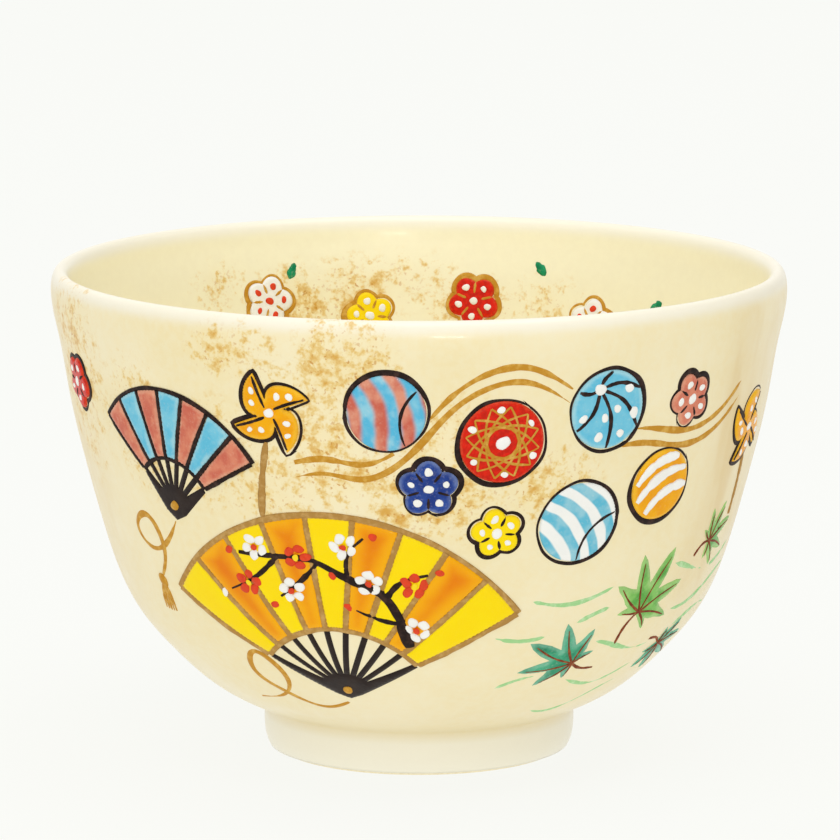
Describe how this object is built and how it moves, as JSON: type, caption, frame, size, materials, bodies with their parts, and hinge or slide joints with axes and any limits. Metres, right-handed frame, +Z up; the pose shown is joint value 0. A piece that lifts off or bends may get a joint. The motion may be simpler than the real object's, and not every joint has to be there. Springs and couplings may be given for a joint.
{
  "type": "tea bowl",
  "caption": "Footed tea bowl of cream-glazed stoneware with a full rounded hip, a rolled lip and a turned foot ring, decorated with raised enamel fans, toy balls, pinwheels, blossoms and leaves.",
  "frame": {"origin": "on the table, under the centre of the foot ring", "axes": "+Z up the bowl's axis towards the rim, -Y towards the front, where the large fan is, +X to the right seen from the front"},
  "size_m": [0.12, 0.12, 0.08],
  "materials": {
    "clay": "matte",
    "cream_glaze": "gloss",
    "yellow_enamel": "gloss",
    "orange_enamel": "gloss",
    "red_enamel": "gloss",
    "sky_enamel": "gloss",
    "salmon_enamel": "gloss",
    "navy_enamel": "gloss",
    "white_enamel": "gloss",
    "green_enamel": "gloss",
    "teal_enamel": "gloss",
    "black_enamel": "gloss",
    "gold_line": "satin"
  },
  "bodies": {
    "root": {"bowl_wall_clay": "clay", "foot_ring_clay": "clay", "outer_glaze": "cream_glaze", "inner_glaze": "cream_glaze", "foot_recess_glaze": "cream_glaze", "large_fan_pleat_1": "yellow_enamel", "large_fan_pleat_2": "orange_enamel", "large_fan_pleat_3": "yellow_enamel", "large_fan_pleat_4": "orange_enamel", "large_fan_pleat_5": "yellow_enamel", "large_fan_pleat_6": "orange_enamel", "large_fan_pleat_7": "yellow_enamel", "large_fan_pleat_8": "orange_enamel", "large_fan_pleat_9": "yellow_enamel", "large_fan_sticks": "black_enamel", "small_fan_pleat_1": "salmon_enamel", "small_fan_pleat_2": "sky_enamel", "small_fan_pleat_3": "salmon_enamel", "small_fan_pleat_4": "sky_enamel", "small_fan_pleat_5": "salmon_enamel", "small_fan_pleat_6": "sky_enamel", "small_fan_pleat_7": "salmon_enamel", "small_fan_sticks": "black_enamel", "ball_striped": "salmon_enamel", "ball_red": "red_enamel", "ball_sky": "sky_enamel", "ball_gold_stripe": "yellow_enamel", "ball_pale_stripe": "white_enamel", "ball_back": "red_enamel", "blossom_navy": "navy_enamel", "blossom_gold": "yellow_enamel", "blossom_salmon": "salmon_enamel", "blossom_red": "red_enamel", "blossom_back": "salmon_enamel", "pinwheel_front": "orange_enamel", "pinwheel_side": "orange_enamel", "leaf_green_large": "green_enamel", "leaf_teal_large": "teal_enamel", "leaf_teal_small": "teal_enamel", "leaf_green_small": "green_enamel", "leaf_green_back": "green_enamel", "leaf_teal_back": "teal_enamel", "inner_blossom_white": "white_enamel", "inner_blossom_gold": "yellow_enamel", "inner_blossom_red": "red_enamel", "inner_blossom_pale": "white_enamel"}
  },
  "joints": []
}
